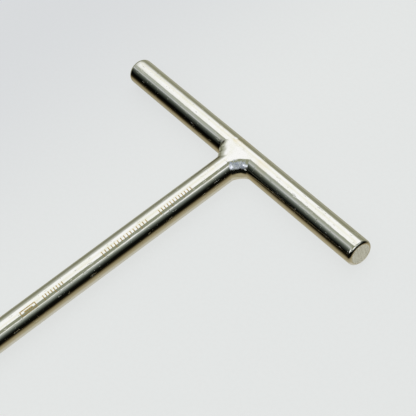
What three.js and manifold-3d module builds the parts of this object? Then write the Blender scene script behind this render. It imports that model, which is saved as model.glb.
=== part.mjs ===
// A T-handled pricking iron: a round crossbar welded across a round shank, and at the far end a
// flat head that clamps a comb of slanted teeth for marking stitch holes in leather.
// Millimetres, +Z up. The tool lies flat: crossbar along X, shank along Y, teeth towards -Y.
import * as THREE from 'three';
import { mergeVertices } from 'three/addons/utils/BufferGeometryUtils.js';
import Module from 'manifold-3d';

const wasm = await Module();
wasm.setup();

// Driving dimensions.
const crossbarDiameter = 8;
const crossbarLength = 102.4;
const crossbarEdgeRadius = 0.8;
const shankDiameter = 8;
const reach = 124; // crossbar axis to the top of the head
const socketDiameter = 4.8; // blind hole in the crossbar that centres the shank before welding
const socketDepth = 4; // from the crossbar's near side
const filletRadius = 3.6; // concave corner of the ground weld, seen from above
const headSideMargin = 0.5; // the head stands out past each side of the comb
const headLength = 32;
const headThickness = 8;
const headFlareLength = 13;
const headEdgeRadius = 0.9;
const spigotDiameter = 5; // the shank's lower end, inside the head
const spigotLength = 12;
const pinDiameter = 2.4; // cross pin through head and spigot
const pinOffset = 6.5; // below the top of the head
const pinChamfer = 0.25;
const combThickness = 3;
const combDepth = 13; // how far the comb enters the head
const combReach = 17; // how far it stands out
const toothCount = 6;
const toothPitch = 4;
const toothLength = 11;
const toothRootWidth = 2.7;
const toothTipWidth = 1.3;
const toothTipThickness = 0.45;
const toothSlant = 45; // degrees, turned about the tool's length
const screwDiameter = 3;
const screwHeadDiameter = 5.4;
const screwHeadRim = 0.3; // straight edge above the countersunk cone
const screwSpacing = 14;
const screwRecess = 0.15; // head and tip below the faces of the head
const hexAcrossFlats = 2;
const hexDepth = 1.1;

// Clearances.
const weldGap = 0.3; // weld metal to the two bars
const fitGap = 0.15; // plugs in holes, comb in slot, faces that meet
const overrun = 1; // cutters run this far past the faces that they open
const webInset = 0.01; // keeps the web's flat faces just inside the round bends

// Facets.
const barSides = 48;
const holeSides = 24;
const screwSides = 32;
const bendSteps = 14;
const flareSteps = 10;

const barRadius = crossbarDiameter / 2;
const shankRadius = shankDiameter / 2;
const bendRadius = filletRadius + Math.max(barRadius, shankRadius); // centre line of a corner of the weld
const combWidth = toothCount * toothPitch;
const headWidth = combWidth + 2 * headSideMargin;
const headBottom = -(reach + headLength);
const tipY = headBottom - combReach;
const screwY = headBottom + combDepth / 2;
const pinY = -(reach + pinOffset);

const polished = new THREE.MeshStandardMaterial({ color: 0xc9c4b2, roughness: 0.22, metalness: 1 });
const ground = new THREE.MeshStandardMaterial({ color: 0xcfcabb, roughness: 0.3, metalness: 1 });
const hardened = new THREE.MeshStandardMaterial({ color: 0x9b9a96, roughness: 0.35, metalness: 1 });
const blackened = new THREE.MeshStandardMaterial({ color: 0x3a3835, roughness: 0.45, metalness: 1 });

// A closed three.js geometry as a solid that can be joined and cut.
function solid(geometry) {
  const bare = geometry.clone();
  bare.deleteAttribute('normal');
  bare.deleteAttribute('uv');
  const merged = mergeVertices(bare, 1e-4);
  return new wasm.Manifold(new wasm.Mesh({
    numProp: 3,
    vertProperties: merged.attributes.position.array,
    triVerts: new Uint32Array(merged.index.array),
  }));
}

function namedMesh(name, body, material) {
  const { vertProperties, triVerts } = body.getMesh();
  const geometry = new THREE.BufferGeometry();
  geometry.setAttribute('position', new THREE.BufferAttribute(vertProperties, 3));
  geometry.setIndex(new THREE.BufferAttribute(triVerts, 1));
  geometry.computeVertexNormals();
  const mesh = new THREE.Mesh(geometry, material);
  mesh.name = name;
  return mesh;
}

// [radius, y] pairs from the bottom up, turned about Y; both ends are on the axis.
function turned(profile, segments = barSides) {
  return new THREE.LatheGeometry(profile.map(([r, y]) => new THREE.Vector2(r, y)), segments);
}

function plug(radius, low, high, segments = barSides) {
  return turned([[0, low], [radius, low], [radius, high], [0, high]], segments);
}

// A round cutter along Z through the whole head, at a place in the plane of X and Y.
function crossHole(diameter, x, y) {
  const radius = diameter / 2 + fitGap;
  const half = Math.max(headThickness / 2, shankRadius) + overrun;
  return solid(plug(radius, -half, half, holeSides).rotateX(Math.PI / 2).translate(x, y, 0));
}

// Closed skin over a row of sections with the same number of points.
function loft(sections) {
  const count = sections[0].length;
  const positions = sections.flat().flatMap((p) => [p.x, p.y, p.z]);
  const index = [];
  for (let s = 0; s < sections.length - 1; s++) {
    for (let i = 0; i < count; i++) {
      const next = (i + 1) % count;
      const here = s * count;
      const after = here + count;
      index.push(here + i, here + next, after + next, here + i, after + next, after + i);
    }
  }
  const last = (sections.length - 1) * count;
  for (let i = 1; i < count - 1; i++) index.push(0, i + 1, i, last, last + i, last + i + 1);
  const geometry = new THREE.BufferGeometry();
  geometry.setAttribute('position', new THREE.Float32BufferAttribute(positions, 3));
  geometry.setIndex(index);
  return geometry;
}

// A bar's rounded edge: an arc from the flat end at y to the bar's side.
function roundedEdge(radius, edge, y, outward) {
  const steps = 4;
  const points = [];
  for (let i = 0; i <= steps; i++) {
    const angle = (i / steps) * Math.PI / 2;
    points.push([radius - edge + edge * Math.sin(angle), y - outward * edge * (1 - Math.cos(angle))]);
  }
  return points;
}

function crossbar() {
  const half = crossbarLength / 2;
  const profile = [
    [0, -half],
    ...roundedEdge(barRadius, crossbarEdgeRadius, -half, -1),
    ...roundedEdge(barRadius, crossbarEdgeRadius, half, 1).reverse(),
    [0, half],
  ];
  const bar = solid(turned(profile).rotateZ(-Math.PI / 2));
  const socket = solid(plug(socketDiameter / 2, -barRadius - overrun, -barRadius + socketDepth));
  return bar.subtract(socket);
}

// The shank's outline, grown by a margin: a spigot for the head, the bar, a 45 degree bevel for
// the weld, and a plug for the crossbar's socket.
function shankProfile(margin) {
  const bevelLift = margin * Math.tan(Math.PI / 8); // keeps the margin even along the bevel
  const plugRadius = socketDiameter / 2 - fitGap;
  const spigotRadius = spigotDiameter / 2 - fitGap + margin;
  const bottom = -(reach + spigotLength) - margin;
  const shoulder = -reach + fitGap - margin;
  const bevelTop = -(barRadius + weldGap);
  const bevelBottom = bevelTop - (shankRadius - plugRadius);
  const top = -barRadius + socketDepth - fitGap + margin;
  return [
    [0, bottom],
    [spigotRadius, bottom],
    [spigotRadius, shoulder],
    [shankRadius + margin, shoulder],
    [shankRadius + margin, bevelBottom + bevelLift],
    [plugRadius + margin, bevelTop + bevelLift],
    [plugRadius + margin, top],
    [0, top],
  ];
}

function shank() {
  return solid(turned(shankProfile(0))).subtract(crossHole(pinDiameter, 0, pinY));
}

// A quarter of a bent round bar on the +X side, from the crossbar's line into the shank's line.
function cornerBend() {
  const sections = [];
  for (let step = -1; step <= bendSteps + 1; step++) {
    const share = THREE.MathUtils.clamp(step / bendSteps, 0, 1);
    const radius = THREE.MathUtils.lerp(barRadius, shankRadius, share);
    const turn = (1 + step / bendSteps) * Math.PI / 2;
    const section = [];
    for (let i = 0; i < barSides; i++) {
      const angle = (i / barSides) * 2 * Math.PI;
      const fromCentre = bendRadius + radius * Math.sin(angle);
      section.push(new THREE.Vector3(
        bendRadius + fromCentre * Math.cos(turn),
        -bendRadius + fromCentre * Math.sin(turn),
        radius * Math.cos(angle),
      ));
    }
    sections.push(section);
  }
  return loft(sections);
}

// The flat web between the two bends.
function cornerWeb() {
  const outline = new THREE.Shape();
  outline.moveTo(-bendRadius, 0);
  outline.absarc(-bendRadius, -bendRadius, bendRadius, Math.PI / 2, 0, true);
  outline.absarc(bendRadius, -bendRadius, bendRadius, Math.PI, Math.PI / 2, true);
  outline.closePath();
  const depth = 2 * (Math.min(barRadius, shankRadius) - webInset);
  return new THREE.ExtrudeGeometry(outline, { depth, curveSegments: bendSteps, bevelEnabled: false })
    .translate(0, 0, -depth / 2);
}

// Ground weld metal: it fills the bevel round the shank and both inside corners of the T.
function handleWeld() {
  const right = solid(cornerBend());
  const left = right.mirror([1, 0, 0]);
  const collar = solid(plug(shankRadius, -bendRadius, 0));
  const grownBar = plug(barRadius + weldGap, -crossbarLength, crossbarLength).rotateZ(Math.PI / 2);
  return right.add(left).add(solid(cornerWeb())).add(collar)
    .subtract(solid(grownBar))
    .subtract(solid(turned(shankProfile(weldGap))));
}

// One cross-section of the head: a rectangle with rounded corners, in the plane of X and Z.
function headSection(halfWidth, halfHeight, corner, y) {
  const cornerSteps = 6;
  const points = [];
  for (let quarter = 0; quarter < 4; quarter++) {
    const signX = quarter === 0 || quarter === 3 ? 1 : -1;
    const signZ = quarter < 2 ? 1 : -1;
    for (let i = 0; i <= cornerSteps; i++) {
      const angle = (quarter + i / cornerSteps) * Math.PI / 2;
      points.push(new THREE.Vector3(
        signX * (halfWidth - corner) + corner * Math.cos(angle),
        y,
        signZ * (halfHeight - corner) + corner * Math.sin(angle),
      ));
    }
  }
  return points;
}

// The head flares from the shank's round to a flat block, with a slot for the comb below.
function headBlock() {
  const neck = Math.min(shankRadius, headThickness / 2);
  const sections = [];
  for (let step = 0; step <= flareSteps; step++) {
    const share = step / flareSteps;
    const swell = (1 - Math.cos(share * Math.PI)) / 2;
    const halfWidth = THREE.MathUtils.lerp(neck, headWidth / 2, swell);
    const halfHeight = THREE.MathUtils.lerp(neck, headThickness / 2, swell);
    const corner = THREE.MathUtils.lerp(neck, headEdgeRadius, Math.sqrt(share));
    sections.push(headSection(halfWidth, halfHeight, corner, -reach - share * headFlareLength));
  }
  const chamfer = headEdgeRadius / 2;
  sections.push(headSection(headWidth / 2, headThickness / 2, headEdgeRadius, headBottom + chamfer));
  sections.push(headSection(headWidth / 2 - chamfer, headThickness / 2 - chamfer, chamfer, headBottom));
  const slotTop = headBottom + combDepth + fitGap;
  const slotHeight = slotTop - headBottom + overrun;
  const slot = new THREE.BoxGeometry(headWidth + 2 * overrun, slotHeight, combThickness + 2 * fitGap)
    .translate(0, slotTop - slotHeight / 2, 0);
  const bore = plug(spigotDiameter / 2, -(reach + spigotLength + fitGap), -reach + overrun);
  let body = solid(loft(sections))
    .subtract(solid(slot))
    .subtract(solid(bore))
    .subtract(crossHole(pinDiameter, 0, pinY));
  for (const side of [-1, 1]) body = body.subtract(screwHole(side));
  return body;
}

// A countersunk screw's outline along Z, grown by a margin, between two heights.
function screwProfile(margin, bottom, top) {
  const coneLift = margin * Math.tan(Math.PI / 8); // keeps the margin even along the 45 degree cone
  const bodyRadius = screwDiameter / 2;
  const headRadius = screwHeadDiameter / 2;
  const coneTop = headThickness / 2 - screwRecess - screwHeadRim;
  const coneBottom = coneTop - (headRadius - bodyRadius);
  return [
    [0, bottom],
    [bodyRadius + margin, bottom],
    [bodyRadius + margin, coneBottom - coneLift],
    [headRadius + margin, coneTop - coneLift],
    [headRadius + margin, top],
    [0, top],
  ];
}

function onScrewLine(geometry, side) {
  return solid(geometry.rotateX(Math.PI / 2).translate(side * screwSpacing / 2, screwY, 0));
}

function screwHole(side) {
  const beyond = headThickness / 2 + overrun;
  return onScrewLine(turned(screwProfile(fitGap, -beyond, beyond), screwSides), side);
}

function combScrew(side) {
  const end = headThickness / 2 - screwRecess;
  const hexRadius = hexAcrossFlats / 2 / Math.cos(Math.PI / 6);
  const hexSides = 6;
  return onScrewLine(turned(screwProfile(0, -end, end), screwSides), side)
    .subtract(onScrewLine(plug(hexRadius, end - hexDepth, end + overrun, hexSides), side));
}

function headPin() {
  const end = headThickness / 2 - screwRecess;
  const radius = pinDiameter / 2;
  const profile = [
    [0, -end],
    [radius - pinChamfer, -end],
    [radius, -end + pinChamfer],
    [radius, end - pinChamfer],
    [radius - pinChamfer, end],
    [0, end],
  ];
  return solid(turned(profile, holeSides).rotateX(Math.PI / 2).translate(0, pinY, 0));
}

// Leans a cutter that stands through the comb to the slant of the teeth, and moves it along the comb.
function slanted(geometry, x) {
  const slope = Math.tan(THREE.MathUtils.degToRad(toothSlant));
  return solid(geometry.applyMatrix4(new THREE.Matrix4().makeShear(0, 0, 0, 0, slope, 0)).translate(x, 0, 0));
}

// One gash between two teeth: wide at the tips, round at the root.
function gash(x) {
  const rootGap = (toothPitch - toothRootWidth) / 2;
  const tipGap = (toothPitch - toothTipWidth) / 2;
  const rootY = tipY + toothLength - rootGap;
  const outline = new THREE.Shape();
  outline.moveTo(-tipGap, tipY - overrun);
  outline.lineTo(tipGap, tipY - overrun);
  outline.lineTo(tipGap, tipY);
  outline.lineTo(rootGap, rootY);
  outline.absarc(0, rootY, rootGap, 0, Math.PI, false);
  outline.lineTo(-tipGap, tipY);
  outline.closePath();
  const depth = combThickness + 2 * overrun;
  const cutter = new THREE.ExtrudeGeometry(outline, { depth, curveSegments: 6, bevelEnabled: false });
  return slanted(cutter.translate(0, 0, -depth / 2), x);
}

// The metal outside an end tooth, cleared as far as the middle of the end gash.
function endClearance(side) {
  const depth = combThickness + 2 * overrun;
  const width = combWidth / 2;
  const height = toothLength + overrun;
  const cutter = new THREE.BoxGeometry(width, height, depth);
  return slanted(cutter.translate(side * width / 2, tipY - overrun + height / 2, 0), side * combWidth / 2);
}

// The wedge ground off the teeth's front face so that they thin towards their tips.
function frontBevel() {
  const outline = new THREE.Shape();
  outline.moveTo(tipY + toothLength, combThickness / 2);
  outline.lineTo(tipY, toothTipThickness / 2);
  outline.lineTo(tipY - overrun, toothTipThickness / 2);
  outline.lineTo(tipY - overrun, combThickness);
  outline.lineTo(tipY + toothLength, combThickness);
  outline.closePath();
  const width = combWidth + 2 * overrun;
  const outlineToWorld = new THREE.Matrix4().makeBasis(
    new THREE.Vector3(0, 1, 0),
    new THREE.Vector3(0, 0, 1),
    new THREE.Vector3(1, 0, 0),
  );
  const wedge = new THREE.ExtrudeGeometry(outline, { depth: width, bevelEnabled: false });
  return solid(wedge.applyMatrix4(outlineToWorld).translate(-width / 2, 0, 0));
}

function comb() {
  const length = combDepth + combReach;
  const plate = new THREE.BoxGeometry(combWidth, length, combThickness).translate(0, tipY + length / 2, 0);
  const bevel = frontBevel();
  let body = solid(plate).subtract(bevel).subtract(bevel.mirror([0, 0, 1]));
  for (let i = 0; i <= toothCount; i++) body = body.subtract(gash((i - toothCount / 2) * toothPitch));
  for (const side of [-1, 1]) {
    const hole = crossHole(screwDiameter, side * screwSpacing / 2, screwY);
    body = body.subtract(endClearance(side)).subtract(hole);
  }
  return body;
}

const tool = new THREE.Group();
tool.add(
  namedMesh('crossbar', crossbar(), polished),
  namedMesh('shank', shank(), polished),
  namedMesh('handle_weld', handleWeld(), ground),
  namedMesh('head_block', headBlock(), polished),
  namedMesh('head_pin', headPin(), hardened),
  namedMesh('comb', comb(), hardened),
  namedMesh('comb_screw_left', combScrew(-1), blackened),
  namedMesh('comb_screw_right', combScrew(1), blackened),
);
// The origin is under the middle of the tool, on the surface it lies on.
tool.position.set(0, (-tipY - barRadius) / 2, Math.max(barRadius, shankRadius, headThickness / 2));

export default tool;
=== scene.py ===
import math

import bmesh
import bpy
from mathutils import Matrix, Vector, noise


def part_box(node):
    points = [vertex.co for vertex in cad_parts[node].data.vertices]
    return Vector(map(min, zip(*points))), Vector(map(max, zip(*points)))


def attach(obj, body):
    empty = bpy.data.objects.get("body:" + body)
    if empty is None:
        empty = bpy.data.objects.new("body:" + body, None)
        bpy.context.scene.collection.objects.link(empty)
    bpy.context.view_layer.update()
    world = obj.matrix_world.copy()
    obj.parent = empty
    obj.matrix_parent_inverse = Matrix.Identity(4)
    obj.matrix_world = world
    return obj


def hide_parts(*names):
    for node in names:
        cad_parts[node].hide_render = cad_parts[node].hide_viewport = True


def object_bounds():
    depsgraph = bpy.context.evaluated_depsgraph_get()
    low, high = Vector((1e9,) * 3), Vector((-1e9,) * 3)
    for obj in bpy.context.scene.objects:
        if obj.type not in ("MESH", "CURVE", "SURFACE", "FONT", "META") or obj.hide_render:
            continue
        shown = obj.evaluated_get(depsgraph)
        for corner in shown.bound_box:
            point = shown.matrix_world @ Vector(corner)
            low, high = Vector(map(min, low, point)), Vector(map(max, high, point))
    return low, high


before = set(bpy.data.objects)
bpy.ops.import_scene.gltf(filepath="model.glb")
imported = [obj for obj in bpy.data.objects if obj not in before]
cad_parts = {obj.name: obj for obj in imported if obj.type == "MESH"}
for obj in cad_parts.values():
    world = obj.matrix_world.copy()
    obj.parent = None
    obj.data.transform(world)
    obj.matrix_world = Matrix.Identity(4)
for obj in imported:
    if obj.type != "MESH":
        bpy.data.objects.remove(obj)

# A T-handled pricking iron lying flat. Metres, +Z up, crossbar along X, teeth towards -Y.
mm = 0.001
cadLow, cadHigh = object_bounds()
crossLow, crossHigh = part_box("crossbar")
shankLow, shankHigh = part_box("shank")
headLow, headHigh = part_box("head_block")
combLow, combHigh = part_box("comb")
barRadius = (crossHigh.z - crossLow.z) / 2
shankRadius = (shankHigh.z - shankLow.z) / 2
junction = (crossLow + crossHigh) / 2  # where the two bar axes meet
toolAxis = Vector((junction.x, 0, junction.z))
alongX, alongY, alongZ = 0, 1, 2
past = 1 * mm  # how far a cutter reaches beyond the metal it cuts
print("frame loaded, crossbar radius %.1f mm" % (barRadius / mm))

cameraSet = {
    "azimuth": 66.3,  # degrees round the tool, from the teeth's side towards +X
    "elevation": 49.04,
    "roll": 18.37,
    "distance": 442.56 * mm,
    "aimFromJunction": Vector((7.71, -18.74, 0)) * mm,
    "lens": 137.35,
    "sensorWidth": 36,
}


def addCamera(settings):
    azimuth, elevation = math.radians(settings["azimuth"]), math.radians(settings["elevation"])
    back = Vector((math.sin(azimuth) * math.cos(elevation),
                   -math.cos(azimuth) * math.cos(elevation),
                   math.sin(elevation)))
    data = bpy.data.cameras.new("toolCamera")
    data.lens = settings["lens"]
    data.sensor_width = settings["sensorWidth"]
    camera = bpy.data.objects.new("toolCamera", data)
    bpy.context.scene.collection.objects.link(camera)
    roll = Matrix.Rotation(-math.radians(settings["roll"]), 3, "Z").to_quaternion()
    turn = (-back).to_track_quat("-Z", "Y") @ roll
    camera.rotation_mode = "QUATERNION"
    camera.rotation_quaternion = turn
    camera.location = junction + settings["aimFromJunction"] + back * settings["distance"]
    bpy.context.scene.camera = camera


addCamera(cameraSet)
bpy.context.scene.view_settings.view_transform = "Standard"
print("camera placed")


# Helpers that add one shader node each; a value may be a number, a colour or another node's output.
def valueNode(tree, operation, first, second=None, third=None, clamp=False):
    node = tree.nodes.new("ShaderNodeMath")
    node.operation = operation
    node.use_clamp = clamp
    for socket, value in zip(node.inputs, (first, second, third)):
        feed(tree, value, socket)
    return node.outputs[0]


def feed(tree, value, socket):
    if value is None:
        return
    if isinstance(value, bpy.types.NodeSocket):
        tree.links.new(value, socket)
    elif isinstance(value, (tuple, list)) and socket.type == "RGBA":
        socket.default_value = (*value[:3], 1)
    else:
        socket.default_value = value


def timesNode(tree, first, second):
    return valueNode(tree, "MULTIPLY", first, second)


def dotNode(tree, vector, direction):
    node = tree.nodes.new("ShaderNodeVectorMath")
    node.operation = "DOT_PRODUCT"
    feed(tree, vector, node.inputs[0])
    node.inputs[1].default_value = direction
    return node.outputs["Value"]


def fadeNode(tree, value, start, end, low=0.0, high=1.0, shape="SMOOTHSTEP"):
    node = tree.nodes.new("ShaderNodeMapRange")
    node.interpolation_type = shape
    feed(tree, value, node.inputs["Value"])
    node.inputs["From Min"].default_value = start
    node.inputs["From Max"].default_value = end
    node.inputs["To Min"].default_value = low
    node.inputs["To Max"].default_value = high
    return node.outputs["Result"]


def mixNode(tree, factor, first, second, blend="MIX"):
    node = tree.nodes.new("ShaderNodeMix")
    node.data_type = "RGBA"
    node.blend_type = blend
    feed(tree, factor, node.inputs["Factor"])
    feed(tree, first, node.inputs[6])
    feed(tree, second, node.inputs[7])
    return node.outputs[2]


def rampNode(tree, factor, stops):
    node = tree.nodes.new("ShaderNodeValToRGB")
    elements = node.color_ramp.elements
    while len(elements) < len(stops):
        elements.new(0.5)
    for element, (position, color) in zip(elements, stops):
        element.position = position
        element.color = (*color, 1)
    feed(tree, factor, node.inputs["Fac"])
    return node.outputs["Color"]


def stretchedPlace(tree, scale):
    place = tree.nodes.new("ShaderNodeTexCoord")
    mapping = tree.nodes.new("ShaderNodeMapping")
    tree.links.new(place.outputs["Object"], mapping.inputs["Vector"])
    mapping.inputs["Scale"].default_value = scale
    return mapping.outputs["Vector"]


def placeNode(tree):
    return tree.nodes.new("ShaderNodeTexCoord").outputs["Object"]


# 1 within a ball round a point and 0 outside it; ragged moves its edge, and core is the share of the
# radius that is fully inside.
def nearNode(tree, point, radius, ragged=0.0, core=0.5):
    apart = tree.nodes.new("ShaderNodeVectorMath")
    apart.operation = "DISTANCE"
    tree.links.new(placeNode(tree), apart.inputs[0])
    apart.inputs[1].default_value = point
    return fadeNode(tree, valueNode(tree, "ADD", apart.outputs["Value"], ragged), radius, radius * core)


def noiseNode(tree, scale, detail, rough):
    node = tree.nodes.new("ShaderNodeTexNoise")
    tree.links.new(stretchedPlace(tree, scale), node.inputs["Vector"])
    node.inputs["Scale"].default_value = 1.0
    node.inputs["Detail"].default_value = detail
    node.inputs["Roughness"].default_value = rough
    return node.outputs["Fac"]


def bumpNode(tree, height, distance, strength=1.0, under=None):
    node = tree.nodes.new("ShaderNodeBump")
    feed(tree, height, node.inputs["Height"])
    node.inputs["Distance"].default_value = distance
    node.inputs["Strength"].default_value = strength
    if under is not None:
        tree.links.new(under, node.inputs["Normal"])
    return node.outputs["Normal"]


def fromSrgb(*color):
    def linear(value):
        value /= 255
        return value / 12.92 if value <= 0.04045 else ((value + 0.055) / 1.055) ** 2.4
    return tuple(linear(value) for value in color)


steelColors = {
    "light": (0.80, 0.775, 0.70),
    "warm": (0.765, 0.745, 0.635),
    "straw": (0.78, 0.60, 0.33),  # heat tint round the weld
    "blued": (0.60, 0.64, 0.73),
    "bluedLight": (0.90, 0.92, 0.96),
    "rubbed": (0.92, 0.92, 0.93),
    # painted shade: the near-black colour put in the weld's left inside corner
    "cornerShade": (0.08, 0.062, 0.055),
    "pit": (0.30, 0.26, 0.20),
    "pore": (0.30, 0.24, 0.17),
    "faced": (0.95, 0.93, 0.80),
    "facedDark": (0.77, 0.74, 0.61),
    "brushed": (0.72, 0.70, 0.65),
    "hardened": (0.60, 0.585, 0.55),
    "tempered": (0.55, 0.49, 0.40),
    "oxide": (0.055, 0.052, 0.05),
    "oxideWorn": (0.34, 0.32, 0.29),
    "etched": (0.58, 0.45, 0.20),
    "etchedDark": (0.46, 0.33, 0.13),
}

# What the weld's heat left in the two inside corners, and a painted shade in the left one, in distances from
# where the axes meet.
weldPatch = {
    "centre": Vector((4.6, -4.6, 2.9)) * mm,
    "radius": 2.9 * mm,
    "core": 0.8,
    "lowest": (2.1 * mm, 2.4 * mm),  # it fades in between these heights
    "highest": (3.75 * mm, 3.5 * mm),
    "spots": (Vector((6.0, -3.1, 3.0)) * mm, Vector((3.3, -5.7, 3.0)) * mm),
    "spotRadius": 0.9 * mm,
    "spotCore": 0.3,
    # centre and size of the painted shade in the left inside corner
    "cornerShade": Vector((-6.0, -2.8, 2.95)) * mm,
    "cornerShadeRadius": 2.0 * mm,
    "straw": (-1.0 * mm, -1.8 * mm, 0.0, 0.55),
}


# Colour and roughness here are the plain ones, for viewers that skip the nodes linked later.
def steelBase(name, color, roughness, metallic=1.0):
    material = bpy.data.materials.new(name)
    material.use_nodes = True
    tree = material.node_tree
    shader = tree.nodes["Principled BSDF"]
    shader.inputs["Metallic"].default_value = metallic
    shader.inputs["Base Color"].default_value = (*steelColors[color], 1)
    shader.inputs["Roughness"].default_value = roughness
    return material, tree, shader


# Polished bar: lines drawn along it, faint rings from polishing, pits and nicks, straw tint near the weld,
# and a near-black painted shade at the left weld toe.
# A pattern is (repeats per metre lengthwise, the same around, detail, roughness). A range says between
# which of a pattern's values something fades in, and the two values after it how strong it gets.
barFinish = {
    "roughness": 0.12,
    "patterns": {
        "streaks": (38, 3100, 5.0, 0.62),
        "bands": (9, 900, 2.0, 0.5),
        "rings": (4200, 240, 3.0, 0.6),
        "patches": (130, 130, 4.0, 0.6),
        "pits": (1700, 1700, 2.0, 0.4),
        "pitZones": (160, 160, 2.0, 0.5),
        "nicks": (420, 2100, 1.0, 0.3),
        "jags": (330, 1500, 3.0, 0.55),
        "grain": (1300, 1300, 2.0, 0.5),
    },
    "warmPatches": (0.38, 0.66),
    "strawPatches": (0.45, 0.65, 0.0, 0.3),
    "warmStreaks": (0.56, 0.7, 0.0, 0.35),
    "pitRange": (0.31, 0.24),
    "pitZoneRange": (0.4, 0.62),
    "pitShade": 0.6,
    # how the painted shade at the left weld toe fades in
    "cornerShadeCore": 0.2,
    "cornerShadeRange": (0.4, 0.6),
    "streakRoughness": (0.35, 0.7, 0.025, 0.085),
    "patchRoughness": (0.42, 0.72, 0.0, 0.04),
    "reliefs": (("bands", 0.02 * mm), ("streaks", 0.005 * mm), ("jags", 0.01 * mm),
                ("grain", 0.004 * mm), ("rings", 0.0006 * mm)),
    "pitDepth": 0.03 * mm,
    "nickRange": (0.3, 0.24, 1.0, 0.0),
    "nickDepth": 0.025 * mm,
    "dentStrength": 0.8,
}


def polishedBarSteel(name, along, tintReach, finish):
    material, tree, shader = steelBase(name, "light", finish["roughness"])
    pattern = {}
    for key, (lengthwise, around, detail, rough) in finish["patterns"].items():
        scale = [around] * 3
        scale[along] = lengthwise
        pattern[key] = noiseNode(tree, scale, detail, rough)
    streaks, patches, pits = pattern["streaks"], pattern["patches"], pattern["pits"]
    color = mixNode(tree, fadeNode(tree, patches, *finish["warmPatches"]),
                    steelColors["light"], steelColors["warm"])
    tint = timesNode(tree, nearNode(tree, junction, tintReach),
                     fadeNode(tree, patches, *finish["strawPatches"]))
    color = mixNode(tree, tint, color, steelColors["straw"])
    color = mixNode(tree, fadeNode(tree, streaks, *finish["warmStreaks"]), color, steelColors["warm"])
    pitted = timesNode(tree, fadeNode(tree, pits, *finish["pitRange"]),
                       fadeNode(tree, pattern["pitZones"], *finish["pitZoneRange"]))
    color = mixNode(tree, timesNode(tree, pitted, finish["pitShade"]), color, steelColors["pit"])
    # painted shade: near-black colour near the left weld toe, broken up by the pit pattern
    cornerShade = nearNode(tree, junction + weldPatch["cornerShade"], weldPatch["cornerShadeRadius"], 0.0, finish["cornerShadeCore"])
    cornerShade = timesNode(tree, cornerShade, fadeNode(tree, pits, *finish["cornerShadeRange"]))
    color = mixNode(tree, cornerShade, color, steelColors["cornerShade"])
    tree.links.new(color, shader.inputs["Base Color"])
    roughness = valueNode(tree, "ADD", fadeNode(tree, streaks, *finish["streakRoughness"]),
                          fadeNode(tree, patches, *finish["patchRoughness"]))
    tree.links.new(roughness, shader.inputs["Roughness"])
    normal = None
    for key, depth in finish["reliefs"]:
        normal = bumpNode(tree, pattern[key], depth, under=normal)
    normal = bumpNode(tree, valueNode(tree, "SUBTRACT", 1.0, pitted), finish["pitDepth"],
                      finish["dentStrength"], normal)
    normal = bumpNode(tree, fadeNode(tree, pattern["nicks"], *finish["nickRange"]), finish["nickDepth"],
                      finish["dentStrength"], normal)
    tree.links.new(normal, shader.inputs["Normal"])
    return material


# Ground weld metal: fine grinding marks and pores, a dull blue-grey patch in the near corner, straw below,
# and a near-black painted shade in the left corner.
weldFinish = {
    "roughness": 0.16,
    "patterns": {  # repeats per metre, detail, roughness
        "patches": (210, 3.0, 0.55),
        "grain": (1900, 3.0, 0.6),
        "pores": (1250, 2.0, 0.45),
        "spots": (620, 1.0, 0.4),
    },
    "ragged": (0.3, 0.7, -0.4 * mm, 0.4 * mm),  # how far the patch's edge wanders
    "raggedHeight": 0.4,
    "warmPatches": (0.4, 0.62),
    "lightSpots": (0.42, 0.7),
    "cornerShadeCore": 0.35,
    # how the painted shade in the left corner fades in
    "cornerShadeSpots": (0.35, 0.5, 0.35, 1.0),
    "poreShade": (0.3, 0.22, 0.0, 0.7),
    "dullShare": 0.7,  # how much of the metal's mirror the patch loses
    "patchRoughness": (0.3, 0.7, 0.09, 0.18),
    "dullRoughness": 0.25,
    "grainDepth": 0.002 * mm,
    "poreRange": (0.3, 0.22, 1.0, 0.0),
    "poreDepth": 0.03 * mm,
    "poreStrength": 0.8,
}


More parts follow.
